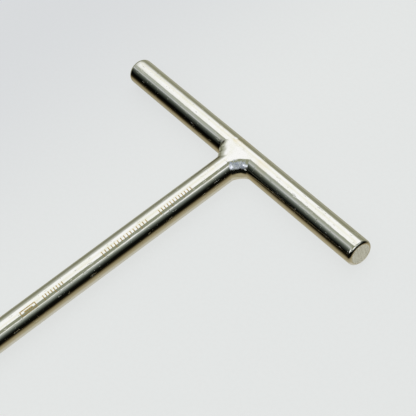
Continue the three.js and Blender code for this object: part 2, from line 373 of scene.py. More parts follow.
def groundWeldSteel(name, finish, patch):
    material, tree, shader = steelBase(name, "light", finish["roughness"])
    pattern = {key: noiseNode(tree, (repeats,) * 3, detail, rough)
               for key, (repeats, detail, rough) in finish["patterns"].items()}
    patches, pores, spots = pattern["patches"], pattern["pores"], pattern["spots"]
    ragged = fadeNode(tree, pores, *finish["ragged"])
    height = valueNode(tree, "SUBTRACT", dotNode(tree, placeNode(tree), (0, 0, 1)), junction.z)
    height = valueNode(tree, "ADD", height, timesNode(tree, ragged, finish["raggedHeight"]))
    dull = nearNode(tree, junction + patch["centre"], patch["radius"], ragged, patch["core"])
    for border in ("lowest", "highest"):
        dull = timesNode(tree, dull, fadeNode(tree, height, *patch[border]))
    color = mixNode(tree, fadeNode(tree, patches, *finish["warmPatches"]),
                    steelColors["light"], steelColors["warm"])
    color = mixNode(tree, fadeNode(tree, height, *patch["straw"]), color, steelColors["straw"])
    blueGrey = mixNode(tree, fadeNode(tree, spots, *finish["lightSpots"]),
                       steelColors["blued"], steelColors["bluedLight"])
    color = mixNode(tree, dull, color, blueGrey)
    rubbed = 0.0
    for spot in patch["spots"]:
        near = nearNode(tree, junction + spot, patch["spotRadius"], ragged, patch["spotCore"])
        rubbed = valueNode(tree, "MAXIMUM", near, rubbed)
    color = mixNode(tree, rubbed, color, steelColors["rubbed"])
    dull = valueNode(tree, "SUBTRACT", dull, rubbed, clamp=True)
    # painted shade: near-black colour in the left inside corner, broken up by the spot pattern; it is made
    # rougher too
    cornerShade = nearNode(tree, junction + patch["cornerShade"], patch["cornerShadeRadius"], ragged, finish["cornerShadeCore"])
    cornerShade = timesNode(tree, cornerShade, fadeNode(tree, spots, *finish["cornerShadeSpots"]))
    color = mixNode(tree, cornerShade, color, steelColors["cornerShade"])
    color = mixNode(tree, fadeNode(tree, pores, *finish["poreShade"]), color, steelColors["pore"])
    tree.links.new(color, shader.inputs["Base Color"])
    metallic = valueNode(tree, "SUBTRACT", 1.0, timesNode(tree, dull, finish["dullShare"]))
    tree.links.new(metallic, shader.inputs["Metallic"])
    roughness = valueNode(tree, "ADD", fadeNode(tree, patches, *finish["patchRoughness"]),
                          timesNode(tree, valueNode(tree, "MAXIMUM", dull, cornerShade), finish["dullRoughness"]))
    tree.links.new(roughness, shader.inputs["Roughness"])
    normal = bumpNode(tree, pattern["grain"], finish["grainDepth"])
    normal = bumpNode(tree, fadeNode(tree, pores, *finish["poreRange"]), finish["poreDepth"],
                      finish["poreStrength"], normal)
    tree.links.new(normal, shader.inputs["Normal"])
    return material


# The simpler finishes. A pattern is (repeats per metre along X, Y and Z), detail, roughness; colour,
# roughness and relief each follow one of the two patterns.
simpleFinishes = {
    "facedEnd": {  # parallel saw marks over a duller, warmer steel; they scatter the light
        "plain": ("light", 0.24, 0.25),
        "patterns": {"marks": ((400, 2600, 180), 4.0, 0.65), "patches": ((520, 520, 520), 3.0, 0.6)},
        "colors": ("faced", "facedDark", "marks", 0.4, 0.65),
        "roughness": ("patches", 0.3, 0.7, 0.3, 0.48),
        "relief": ("marks", 0.012 * mm),
    },
    "satinHead": {  # long brushing lines down the head
        "plain": ("light", 0.26),
        "patterns": {"brushing": ((3400, 60, 3400), 5.0, 0.65), "patches": ((110, 110, 110), 3.0, 0.5)},
        "colors": ("brushed", "warm", "patches", 0.4, 0.65),
        "roughness": ("brushing", 0.3, 0.7, 0.2, 0.34),
        "relief": ("brushing", 0.004 * mm),
    },
    "hardenedComb": {  # grinding lines across the teeth and the faint brown of tempering
        "plain": ("hardened", 0.28),
        "patterns": {"grinding": ((70, 3800, 900), 5.0, 0.6), "temper": ((260, 90, 260), 2.0, 0.5)},
        "colors": ("hardened", "tempered", "temper", 0.4, 0.7),
        "roughness": ("grinding", 0.3, 0.7, 0.2, 0.36),
        "relief": ("grinding", 0.004 * mm),
    },
    "blackScrew": {  # black oxide, rubbed through to grey in spots
        "plain": ("oxide", 0.4),
        "patterns": {"rubbed": ((900, 900, 900), 4.0, 0.6), "grain": ((4200, 4200, 4200), 2.0, 0.5)},
        "colors": ("oxide", "oxideWorn", "rubbed", 0.6, 0.78),
        "roughness": ("rubbed", 0.35, 0.75, 0.46, 0.26),
        "relief": ("grain", 0.004 * mm),
    },
    "etchedMark": {  # the golden brown that an etching current leaves
        "plain": ("etched", 0.4),
        "patterns": {"mottle": ((2600, 2600, 2600), 3.0, 0.6)},
        "colors": ("etched", "etchedDark", "mottle", 0.35, 0.65),
        "roughness": ("mottle", 0.3, 0.7, 0.3, 0.5),
        "relief": ("mottle", 0.003 * mm),
    },
}


def simpleSteel(name, finish):
    material, tree, shader = steelBase(name, *finish["plain"])
    pattern = {key: noiseNode(tree, *values) for key, values in finish["patterns"].items()}
    first, second, source, *fade = finish["colors"]
    color = mixNode(tree, fadeNode(tree, pattern[source], *fade), steelColors[first], steelColors[second])
    tree.links.new(color, shader.inputs["Base Color"])
    source, *fade = finish["roughness"]
    tree.links.new(fadeNode(tree, pattern[source], *fade), shader.inputs["Roughness"])
    source, depth = finish["relief"]
    tree.links.new(bumpNode(tree, pattern[source], depth), shader.inputs["Normal"])
    return material


crossbarSteel = polishedBarSteel("crossbarSteel", alongX, 16 * mm, barFinish)
shankSteel = polishedBarSteel("shankSteel", alongY, 18 * mm, barFinish)
weldSteel = groundWeldSteel("groundWeld", weldFinish, weldPatch)
endSteel, headSteel, combSteel, screwSteel, markSteel = (
    simpleSteel(name, finish) for name, finish in simpleFinishes.items())
print("finishes made")


def addPiece(name, bm, materials, nodes=(), sharpAngle=32):
    bmesh.ops.remove_doubles(bm, verts=bm.verts, dist=1e-7)
    bmesh.ops.recalc_face_normals(bm, faces=bm.faces)
    mesh = bpy.data.meshes.new(name)
    bm.to_mesh(mesh)
    bm.free()
    for material in materials:
        mesh.materials.append(material)
    mesh.polygons.foreach_set("use_smooth", [True] * len(mesh.polygons))
    mesh.set_sharp_from_angle(angle=math.radians(sharpAngle))
    piece = bpy.data.objects.new(name, mesh)
    bpy.context.scene.collection.objects.link(piece)
    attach(piece, "root")
    if nodes:
        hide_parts(*nodes)
    return piece


# Profile of (distance along, radius) pairs turned round Z, closed at both ends on the axis.
def turnedForm(profile, sides):
    bm = bmesh.new()
    rings = []
    for along, radius in profile:
        if radius == 0:
            rings.append([bm.verts.new((0, 0, along))])
        else:
            rings.append([bm.verts.new((radius * math.cos(2 * math.pi * i / sides),
                                        radius * math.sin(2 * math.pi * i / sides), along))
                          for i in range(sides)])
    for lower, upper in zip(rings, rings[1:]):
        for i in range(sides):
            j = (i + 1) % sides
            corners = [lower[i % len(lower)], lower[j % len(lower)],
                       upper[j % len(upper)], upper[i % len(upper)]]
            bm.faces.new(list(dict.fromkeys(corners)))  # three corners where it meets the axis
    return bm


# Flat end with support rings, then its rounded edge; outward is -1 at the start of the bar, 1 at its end.
def roundedEnd(at, radius, edge, outward):
    capShares, edgeSteps = (0, 0.3, 0.6, 0.85, 0.97), 8  # the cap's rings crowd towards its edge
    points = [(at, (radius - edge) * share) for share in capShares]
    for step in range(edgeSteps + 1):
        angle = step / edgeSteps * math.pi / 2
        points.append((at - outward * edge * (1 - math.cos(angle)),
                       radius - edge + edge * math.sin(angle)))
    return points


def spread(start, end, step):
    count = max(2, round(abs(end - start) / step))
    return [start + (end - start) * i / count for i in range(count + 1)]


# Sinks a bar's skin unevenly, by less than twice the depth, as hand polishing does.
def handPolish(bm, axisPoint, along, settings):
    seed, wave, depth = settings["polishSeed"], settings["polishWave"], settings["polishDepth"]
    shift = Vector((seed, seed * 1.7, seed * 0.3))
    for vert in bm.verts:
        out = vert.co - axisPoint
        out[along] = 0
        if out.length > barRadius * 0.8:  # the skin and the rim of the caps only
            vert.co += out.normalized() * (noise.noise(vert.co / wave + shift) - 1) * depth


def toAxis(bm, along, centre):
    if along == alongX:
        turn = Matrix.Rotation(math.pi / 2, 4, "Y")
    else:
        turn = Matrix.Rotation(-math.pi / 2, 4, "X")
    bm.transform(Matrix.Translation(centre) @ turn)


def cutAway(piece, cutters, sharpAngle=32):
    for cutter in cutters:
        step = piece.modifiers.new("cut", "BOOLEAN")
        step.operation = "DIFFERENCE"
        step.solver = "MANIFOLD"
        step.object = cutter
    settle(piece, sharpAngle)
    for cutter in cutters:
        bpy.data.objects.remove(cutter)


# Makes the modifiers' result the piece's own mesh.
def settle(piece, sharpAngle=32):
    bpy.context.view_layer.update()
    evaluated = piece.evaluated_get(bpy.context.evaluated_depsgraph_get())
    mesh = bpy.data.meshes.new_from_object(evaluated)
    piece.modifiers.clear()
    piece.data = mesh
    mesh.polygons.foreach_set("use_smooth", [True] * len(mesh.polygons))
    mesh.set_sharp_from_angle(angle=math.radians(sharpAngle))


def cutterFrom(bm):
    bmesh.ops.recalc_face_normals(bm, faces=bm.faces)
    mesh = bpy.data.meshes.new("cutter")
    bm.to_mesh(mesh)
    bm.free()
    cutter = bpy.data.objects.new("cutter", mesh)
    bpy.context.scene.collection.objects.link(cutter)
    return cutter


def turnedCutter(profile, along, centre, sides=64):
    bm = turnedForm(profile, sides)
    if along == alongZ:
        bm.transform(Matrix.Translation(centre))
    else:
        toAxis(bm, along, centre)
    return cutterFrom(bm)


def roundCutter(radius, low, high, along, centre, sides=64):
    return turnedCutter([(low, 0), (low, radius), (high, radius), (high, 0)], along, centre, sides)


# A flat outline pushed along one axis; its points are in the plane of the next two axes, in the order
# X, Y, Z, X, Y. A slope leans it towards +X as it rises.
def prismForm(outline, along, low, high, centre, slope=0.0):
    bm = bmesh.new()
    caps = []
    for at in (low, high):
        cap = []
        for first, second in outline:
            place = Vector((0, 0, 0))
            place[along] = at
            place[(along + 1) % 3] = first
            place[(along + 2) % 3] = second
            place.x += place.z * slope
            cap.append(bm.verts.new(place + centre))
        caps.append(cap)
    bm.faces.new(caps[0][::-1])
    bm.faces.new(caps[1])
    for i in range(len(outline)):
        j = (i + 1) % len(outline)
        bm.faces.new([caps[0][i], caps[0][j], caps[1][j], caps[1][i]])
    return bm


def middleOf(node):
    low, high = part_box(node)
    return Vector(((low.x + high.x) / 2, (low.y + high.y) / 2, junction.z))


def breakEdges(piece, width, segments=2, angle=30):
    step = piece.modifiers.new("edges", "BEVEL")
    step.width = width
    step.segments = segments
    step.limit_method = "ANGLE"
    step.angle_limit = math.radians(angle)
    step.harden_normals = True


crossbarSet = {
    "leftEdge": 1.15 * mm,
    "rightEdge": 0.95 * mm,
    "socketRadius": 2.4 * mm,
    "socketMouth": 1.3,  # where its cutter starts, in bar radii from the axis
    "ringStep": 1.2 * mm,
    "sides": 160,
    "polishWave": 9 * mm,
    "polishDepth": 0.02 * mm,
    "polishSeed": 3.1,
}


def buildCrossbar(settings):
    half = (crossHigh.x - crossLow.x) / 2
    start = roundedEnd(-half, barRadius, settings["leftEdge"], -1)
    end = roundedEnd(half, barRadius, settings["rightEdge"], 1)[::-1]
    middle = [(x, barRadius) for x in spread(start[-1][0], end[0][0], settings["ringStep"])[1:-1]]
    bm = turnedForm(start + middle + end, settings["sides"])
    toAxis(bm, alongX, junction)
    handPolish(bm, junction, alongX, settings)
    piece = addPiece("crossbar_bar", bm, [crossbarSteel, endSteel], ["crossbar"])
    mouth = -barRadius * settings["socketMouth"]
    cutAway(piece, [roundCutter(settings["socketRadius"], mouth, 0, alongY, junction)])
    for face in piece.data.polygons:  # the two flat ends have their own finish
        atEnd = abs(face.center.x - junction.x) > half * 0.99
        face.material_index = 1 if atEnd and abs(face.normal.x) > 0.995 else 0


buildCrossbar(crossbarSet)
print("crossbar turned")


shankSet = {
    "plugRadius": 2.25 * mm,
    "spigotRadius": 2.35 * mm,
    "spigotLength": 12.15 * mm,
    "plugLength": 4.15 * mm,
    "pinHoleRadius": 1.35 * mm,
    "ringStep": 1.2 * mm,
    "sides": 160,
    "polishWave": 11 * mm,
    "polishDepth": 0.012 * mm,
    "polishSeed": 7.7,
    "edge": 0.15 * mm,
    "ringGap": 0.1 * mm,  # rings closer than this to a mark are left out
}

# Etched marks: a plain frame with a bar in it, then three short scales. Distances are below the crossbar.
marksSet = {
    "fromTop": 11.25,  # degrees from the top of the bar towards +X
    "longArc": 24.75,
    "shortArc": 15.75,
    "stroke": 0.3 * mm,
    "frameSpan": (78.3 * mm, 73.1 * mm),
    "scales": ((70.6, 63.4, 0.92), (50.4, 34.4, 1.1), (30.4, 18.9, 1.02)),  # start, end and pitch in mm
    "longEvery": 4,
    "frameSteps": 2,  # width of the frame's long sides, in sides of the bar
    "barInset": 4,  # from the frame to its bar, in sides of the bar and in strokes
    "etchDepth": 0.015 * mm,
}


# Each mark is (angle from, angle to, y from, y to).
def markPlaces(settings):
    first, last = settings["fromTop"], settings["fromTop"] + settings["longArc"]
    stroke, inset = settings["stroke"], settings["barInset"]
    step = 360 / shankSet["sides"]
    line = settings["frameSteps"] * step
    low, high = (junction.y - distance for distance in settings["frameSpan"])
    places = [(first, last, low, low + stroke), (first, last, high - stroke, high),
              (first, first + line, low + stroke, high - stroke),
              (last - line, last, low + stroke, high - stroke),
              (first + inset * step, last - inset * step, low + inset * stroke, high - inset * stroke)]
    for start, end, pitch in settings["scales"]:
        count = int((start - end) / pitch)
        for i in range(count + 1):
            y = junction.y - start * mm + i * pitch * mm
            arc = settings["longArc"] if i % settings["longEvery"] == 0 else settings["shortArc"]
            places.append((first, first + arc, y, y + stroke))
    return places


def buildShank(settings):
    bottom, top = shankLow.y, shankHigh.y
    shoulder = bottom + settings["spigotLength"]
    plug, spigot, edge = settings["plugRadius"], settings["spigotRadius"], settings["edge"]
    bevelTop = top - settings["plugLength"]
    bevelBottom = bevelTop - (shankRadius - plug)
    marks = markPlaces(marksSet)
    markEdges = sorted({round(y, 8) for mark in marks for y in mark[2:]})
    rings = [y for y in spread(shoulder + edge, bevelBottom, settings["ringStep"])
             if all(abs(y - other) > settings["ringGap"] for other in markEdges)]
    profile = [(bottom, 0), (bottom, spigot - edge), (bottom + edge, spigot), (shoulder, spigot),
               (shoulder, shankRadius - edge)]
    profile += [(y, shankRadius) for y in sorted(rings + markEdges)]
    profile += [(bevelTop, plug), (top, plug), (top, 0)]
    bm = turnedForm(profile, settings["sides"])
    toAxis(bm, alongY, toolAxis)
    etched = []
    for face in bm.faces:
        middle = face.calc_center_median()
        angle = math.degrees(math.atan2(middle.x - junction.x, middle.z - junction.z))
        if any(a < angle < b and c < middle.y < d for a, b, c, d in marks):
            etched.append(face)
            face.material_index = 1
    bmesh.ops.inset_region(bm, faces=etched, thickness=marksSet["etchDepth"],
                           depth=-marksSet["etchDepth"], use_even_offset=True)
    handPolish(bm, toolAxis, alongY, settings)
    piece = addPiece("shank_bar", bm, [shankSteel, markSteel], ["shank"])
    pinCentre = Vector((junction.x, middleOf("head_pin").y, junction.z))
    cutAway(piece, [roundCutter(settings["pinHoleRadius"], -shankRadius, shankRadius, alongZ, pinCentre)])


buildShank(shankSet)
print("shank turned and marked")


weldSet = {
    "leftFillet": 2.5 * mm,  # inside corners, seen from above
    "rightFillet": 3.9 * mm,
    "leftFlatness": 0.05,  # 0 is a round corner, 1 a straight facet ground across it
    "rightFlatness": 0.45,
    "leftSquare": 0.35,
    "collarLap": 0.08 * mm,
    "voxel": 0.14 * mm,
    "toe": 0.3,  # share of a corner over which it rises out of the bar
    "dive": 0.2 * mm,  # how far its ends lie inside the bar
    "sunk": 0.03 * mm,  # the bars are this much smaller where they cut the weld
    "rippleWave": 1.7 * mm,
    "rippleDepth": 0.11 * mm,
    "seed": 4.2,
    "pitRadius": 0.42 * mm,
    "pitDepth": 0.3 * mm,
    "pits": ((-6.9, -2.7, 3.0), (-6.3, -3.3, 2.5), (-6.6, -3.9, 1.6),
             (-5.9, -3.6, 3.1), (6.4, -3.5, 2.3), (5.9, -4.9, 1.9)),  # in mm from where the axes meet
    "facetShare": 0.62,  # where the facet meets the bars, as a share of the corner's bend
    "pathSteps": 32,
    "sides": 64,
    "barSides": 160,
    "flankGain": 1.6,  # how soon the ground top gives way to rippled flanks
    "rippleShare": 0.1,  # more leaves less of the flank smooth
    "sharpAngle": 60,
}


# Centre line of one corner of the weld, from the crossbar's line to the shank's, as rows of
# point, outward direction, radius and squareness (0 for a round section).
def cornerPath(side, fillet, flatness, square, settings):
    toe, dive, steps = settings["toe"], settings["dive"], settings["pathSteps"]
    bend = fillet + barRadius
    leg = settings["facetShare"] * bend
    points = []
    for step in range(steps + 1):
        share = step / steps
        turn = (1 + share) * math.pi / 2
        around = Vector((bend + bend * math.cos(turn), -bend + bend * math.sin(turn), 0))
        across = Vector((leg * (1 - share), -leg * share, 0))
        points.append(around.lerp(across, flatness))
    points = [points[0] + Vector((barRadius, 0, 0))] + points + [points[-1] - Vector((0, barRadius, 0))]
    path = []
    for i, point in enumerate(points):
        ahead = points[min(i + 1, len(points) - 1)] - points[max(i - 1, 0)]
        outward = Vector((-ahead.y, ahead.x, 0)).normalized()
        fromEnd = max(0, min(i - 1, len(points) - 2 - i)) / steps
        sunkBy = dive * max(0, 1 - fromEnd / toe) ** 2
        path.append((Vector((point.x * side, point.y, 0)) + junction,
                     Vector((outward.x * side, outward.y, 0)),
                     barRadius - sunkBy, square * min(1, fromEnd / toe)))
    return path


def cornerBend(path, sides):
    bm = bmesh.new()
    rings = []
    for point, outward, radius, square in path:
        ring = []
        for i in range(sides):
            flat, rise = math.sin(2 * math.pi * i / sides), math.cos(2 * math.pi * i / sides)
            flat = math.copysign(abs(flat) ** (1 - square), flat)
            rise = math.copysign(abs(rise) ** (1 - square), rise)
            ring.append(bm.verts.new(point + outward * radius * flat + Vector((0, 0, radius * rise))))
        rings.append(ring)
    for lower, upper in zip(rings, rings[1:]):
        for i in range(sides):
            j = (i + 1) % sides
            bm.faces.new([lower[i], lower[j], upper[j], upper[i]])
    bm.faces.new(rings[0][::-1])
    bm.faces.new(rings[-1])
    return bm


# Flat web between the two bends.
def cornerWeb(rightPath, leftPath):
    outline = [(point.x - junction.x, point.y - junction.y) for point, *rest in rightPath[1:-1]]
    outline += [(point.x - junction.x, point.y - junction.y) for point, *rest in leftPath[-2:0:-1]]
    outline = list(dict.fromkeys((round(x, 7), round(y, 7)) for x, y in outline))
    return prismForm(outline, alongZ, -barRadius, barRadius, junction)


def remeshed(piece, voxel):
    step = piece.modifiers.new("remesh", "REMESH")
    step.mode = "VOXEL"
    step.voxel_size = voxel
    ease = piece.modifiers.new("ease", "SMOOTH")
    ease.factor, ease.iterations = 0.5, 5
    settle(piece, 180)


def buildWeld(settings):
    sides, barSides, sunk = settings["sides"], settings["barSides"], settings["sunk"]
    plug = shankSet["plugRadius"]
    right = cornerPath(1, settings["rightFillet"], settings["rightFlatness"], 0, settings)
    left = cornerPath(-1, settings["leftFillet"], settings["leftFlatness"], settings["leftSquare"], settings)
    plugStart = shankHigh.y - shankSet["plugLength"] - junction.y
    collarEnd = plugStart - (shankRadius - plug)
    lapEnd = collarEnd - settings["collarLap"]
    collar = turnedForm([(lapEnd, 0), (lapEnd, shankRadius), (0, shankRadius), (0, 0)], barSides)
    toAxis(collar, alongY, junction)
    whole = bmesh.new()
    for bm in (cornerBend(right, sides), cornerBend(left, sides), cornerWeb(right, left), collar):
        bmesh.ops.recalc_face_normals(bm, faces=bm.faces)
        mesh = bpy.data.meshes.new("part")
        bm.to_mesh(mesh)
        bm.free()
        whole.from_mesh(mesh)
        bpy.data.meshes.remove(mesh)
    mesh = bpy.data.meshes.new("weld")
    whole.to_mesh(mesh)
    whole.free()
    piece = bpy.data.objects.new("handle_weld_bead", mesh)
    bpy.context.scene.collection.objects.link(piece)
    remeshed(piece, settings["voxel"])
    shift = Vector((settings["seed"],) * 3)
    normals = [vert.normal.copy() for vert in piece.data.vertices]
    for vert, normal in zip(piece.data.vertices, normals):
        flank = min(1.0, math.hypot(normal.x, normal.y) * settings["flankGain"])
        ripple = noise.noise(vert.co / settings["rippleWave"] + shift) + settings["rippleShare"]
        ripple = max(0.0, ripple)
        push = ripple * settings["rippleDepth"] * flank
        for pit in settings["pits"]:
            near = 1 - (vert.co - junction - Vector(pit) * mm).length / settings["pitRadius"]
            push = max(push, settings["pitDepth"] * near)
        vert.co -= normal * push
    reach = 3 * (max(settings["leftFillet"], settings["rightFillet"]) + barRadius)
    shankShape = [(-reach, 0), (-reach, shankRadius - sunk), (collarEnd, shankRadius - sunk),
                  (plugStart, plug), (barRadius, plug), (barRadius, 0)]
    cutAway(piece, [roundCutter(barRadius - sunk, -reach, reach, alongX, junction, barSides),
                    turnedCutter(shankShape, alongY, junction, barSides)], settings["sharpAngle"])
    piece.data.materials.clear()
    piece.data.materials.append(weldSteel)
    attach(piece, "root")
    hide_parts("handle_weld")


buildWeld(weldSet)
print("weld ground")


headSet = {
    "neckRadius": 4.0 * mm,
    "flareLength": 13 * mm,
    "edgeRadius": 0.9 * mm,
    "bottomRadius": 0.45 * mm,
    "lip": 0.2 * mm,  # broken edges of the slot and holes
    "slotGap": 0.15 * mm,
    "boreRadius": 2.5 * mm,
    "boreDepth": 12.15 * mm,
    "pinHoleRadius": 1.35 * mm,
    "screwHoleRadius": 1.65 * mm,
    "sinkRadius": 2.85 * mm,
    "sinkRim": 0.45 * mm,  # from the face down to the top of the countersink
    "flareSteps": 48,
    "cornerSteps": 10,
    "bottomSteps": 6,
    "smallLip": 0.6,  # the neck's and round holes' broken edge, as a share of the lip
    "sharpAngle": 28,
}


def headRing(bm, halfWidth, halfHeight, corner, y, steps):
    ring = []
    for quarter in range(4):
        signX = 1 if quarter in (0, 3) else -1
        signZ = 1 if quarter < 2 else -1
        for i in range(steps + 1):
            angle = (quarter + i / steps) * math.pi / 2
            x = junction.x + signX * (halfWidth - corner) + corner * math.cos(angle)
            z = junction.z + signZ * (halfHeight - corner) + corner * math.sin(angle)
            ring.append(bm.verts.new((x, y, z)))
    return ring


def headForm(settings):
    bm = bmesh.new()
    halfWidth, halfHeight = (headHigh.x - headLow.x) / 2, (headHigh.z - headLow.z) / 2
    neck, steps = settings["neckRadius"], settings["cornerSteps"]
    lip = settings["lip"] * settings["smallLip"]
    rings = [headRing(bm, neck - lip, neck - lip, neck - lip, headHigh.y, steps)]
    for step in range(1, settings["flareSteps"] + 1):
        share = step / settings["flareSteps"]
        swell = (1 - math.cos(share * math.pi)) / 2
        corner = neck + (settings["edgeRadius"] - neck) * math.sqrt(share)
        rings.append(headRing(bm, neck + (halfWidth - neck) * swell, neck + (halfHeight - neck) * swell,
                              corner, headHigh.y - share * settings["flareLength"], steps))
    bottomSteps, bottomRadius = settings["bottomSteps"], settings["bottomRadius"]
    for step in range(bottomSteps + 1):
        angle = step / bottomSteps * math.pi / 2
        inset = bottomRadius * (1 - math.cos(angle))
        rings.append(headRing(bm, halfWidth - inset, halfHeight - inset, settings["edgeRadius"] - inset,
                              headLow.y + bottomRadius * (1 - math.sin(angle)), steps))
    for upper, lower in zip(rings, rings[1:]):
        for i in range(len(upper)):
            j = (i + 1) % len(upper)
            bm.faces.new([upper[i], upper[j], lower[j], lower[i]])
    bm.faces.new(rings[0])
    bm.faces.new(rings[-1][::-1])
    return bm


def lippedHole(radius, lip, low, high):
    beyond = lip + past
    return [(low - past, 0), (low - past, radius + beyond), (low + lip, radius),
            (high - lip, radius), (high + past, radius + beyond), (high + past, 0)]


def buildHead(settings):
    piece = addPiece("head_block_body", headForm(settings), [headSteel], ["head_block"])
    halfWidth, halfHeight = (headHigh.x - headLow.x) / 2, (headHigh.z - headLow.z) / 2
    lip, smallLip = settings["lip"], settings["lip"] * settings["smallLip"]
    halfSlot = (combHigh.z - combLow.z) / 2 + settings["slotGap"]
    slotTop = combHigh.y + settings["slotGap"]
    slot = [(slotTop, -halfSlot), (slotTop, halfSlot), (headLow.y + lip, halfSlot),
            (headLow.y - past, halfSlot + lip + past), (headLow.y - past, -halfSlot - lip - past),
            (headLow.y + lip, -halfSlot)]
    cutters = [cutterFrom(prismForm(slot, alongX, -halfWidth - past, halfWidth + past, toolAxis))]
    for side in (-1, 1):
        flare = [(halfSlot, side * (halfWidth - lip)), (halfSlot + lip + past, side * (halfWidth + past)),
                 (-halfSlot - lip - past, side * (halfWidth + past)), (-halfSlot, side * (halfWidth - lip))]
        cutters.append(cutterFrom(prismForm(flare, alongY, headLow.y - past, slotTop, toolAxis)))
    cutters.append(roundCutter(settings["boreRadius"], headHigh.y - settings["boreDepth"],
                               headHigh.y + past, alongY, toolAxis))
    pinHole = lippedHole(settings["pinHoleRadius"], smallLip, -halfHeight, halfHeight)
    cutters.append(turnedCutter(pinHole, alongZ, middleOf("head_pin")))
    body, sink = settings["screwHoleRadius"], settings["sinkRadius"]
    coneTop = halfHeight - settings["sinkRim"]
    for node in ("comb_screw_left", "comb_screw_right"):
        profile = [(-halfHeight - past, 0), (-halfHeight - past, body + lip + past),
                   (-halfHeight + lip, body), (coneTop - (sink - body), body), (coneTop, sink),
                   (halfHeight - smallLip, sink), (halfHeight + past, sink + past + smallLip),
                   (halfHeight + past, 0)]
        cutters.append(turnedCutter(profile, alongZ, middleOf(node)))
    cutAway(piece, cutters, settings["sharpAngle"])


buildHead(headSet)
print("head block machined")


pinSet = {
    "dome": 0.08 * mm,
    "edge": 0.28 * mm,
    "domeShape": ((0, 0), (0.12, 0.3), (0.5, 0.6)),  # shares of the dome's drop and of the radius
    "edgeShape": ((0, 1), (0.4, 0.3), (1, 0)),  # shares of the edge, down and inwards
    "sides": 64,
    "sharpAngle": 40,
}


def buildPin(settings):
    low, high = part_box("head_pin")
    radius, end = (high.x - low.x) / 2, (high.z - low.z) / 2
    dome, edge = settings["dome"], settings["edge"]
    half = [(end - dome * drop, radius * share) for drop, share in settings["domeShape"]]
    half += [(end - dome - edge * drop, radius - edge * back) for drop, back in settings["edgeShape"]]
    profile = [(-along, out) for along, out in half] + half[::-1]
    bm = turnedForm(profile, settings["sides"])
    bm.transform(Matrix.Translation(middleOf("head_pin")))
    addPiece("head_pin_peened", bm, [combSteel], ["head_pin"],
             settings["sharpAngle"])


buildPin(pinSet)
print("pin set")


combSet = {
    "teeth": 6,
    "toothLength": 11 * mm,
    "rootWidth": 2.7 * mm,
    "tipWidth": 1.3 * mm,
    "tipThickness": 0.45 * mm,
    "slant": 45,  # degrees, turned about the tool's length
    "holeRadius": 1.65 * mm,
    "edge": 0.07 * mm,
    "arcSteps": 20,
    "sharpAngle": 25,
}


def buildComb(settings):
    width, thick = combHigh.x - combLow.x, combHigh.z - combLow.z
    pitch = width / settings["teeth"]
    tip, length = combLow.y, settings["toothLength"]
    slope = math.tan(math.radians(settings["slant"]))
    plate = [(-width / 2, tip), (width / 2, tip), (width / 2, combHigh.y), (-width / 2, combHigh.y)]
    bm = prismForm(plate, alongZ, -thick / 2, thick / 2, toolAxis)
    piece = addPiece("comb_teeth", bm, [combSteel], ["comb"])
    cutters = []
    for face in (-1, 1):
        wedge = [(tip + length, face * thick / 2), (tip, face * settings["tipThickness"] / 2),
                 (tip - past, face * settings["tipThickness"] / 2), (tip - past, face * thick),
                 (tip + length, face * thick)]
        cutters.append(cutterFrom(prismForm(wedge, alongX, -width / 2 - past, width / 2 + past, toolAxis)))
    rootGap, tipGap = (pitch - settings["rootWidth"]) / 2, (pitch - settings["tipWidth"]) / 2
    rootY = tip + length - rootGap
    arcSteps = settings["arcSteps"]
    gash = [(-tipGap, tip), (-tipGap, tip - past), (tipGap, tip - past), (tipGap, tip)]
    for i in range(arcSteps + 1):
        angle = i / arcSteps * math.pi
        gash.append((rootGap * math.cos(angle), rootY + rootGap * math.sin(angle)))
    for i in range(settings["teeth"] + 1):
        place = toolAxis + Vector(((i - settings["teeth"] / 2) * pitch, 0, 0))
        cutters.append(cutterFrom(prismForm(gash, alongZ, -thick, thick, place, slope)))
    for side in (-1, 1):
        outside = [(0, tip - past), (side * width / 2, tip - past), (side * width / 2, tip + length),
                   (0, tip + length)]
        place = toolAxis + Vector((side * width / 2, 0, 0))
        cutters.append(cutterFrom(prismForm(outside, alongZ, -thick, thick, place, slope)))
    for node in ("comb_screw_left", "comb_screw_right"):
        cutters.append(roundCutter(settings["holeRadius"], -thick, thick, alongZ, middleOf(node)))
    cutAway(piece, cutters, settings["sharpAngle"])
    breakEdges(piece, settings["edge"])
    settle(piece, settings["sharpAngle"])


buildComb(combSet)
print("comb ground")


screwSet = {
    "bodyRadius": 1.5 * mm,
    "headRim": 0.3 * mm,
    "socketRadius": 1.0 * mm,  # to the flats
    "socketDepth": 1.1 * mm,
    "threadPitch": 0.5 * mm,
    "threadDepth": 0.2 * mm,
    "threadRings": 10,  # rings in one turn of the thread
    "runOut": 0.2 * mm,  # plain length at each end of the thread
    "tipLength": 0.3 * mm,
    "tipTaper": 0.35 * mm,
    "tipStep": 0.02 * mm,
    "tipGap": 0.06 * mm,
    "headEdge": ((0.08, 0), (0.02, 0.03), (0, 0.1)),  # mm down from the top and in from the rim
    "mouthLip": 0.15 * mm,
    "mouthRise": 0.5 * mm,
    "drillPoint": 0.3 * mm,  # depth of the cone under the socket
    "sharpAngle": 40,
    "socketSharpAngle": 30,
    "sides": 96,
}


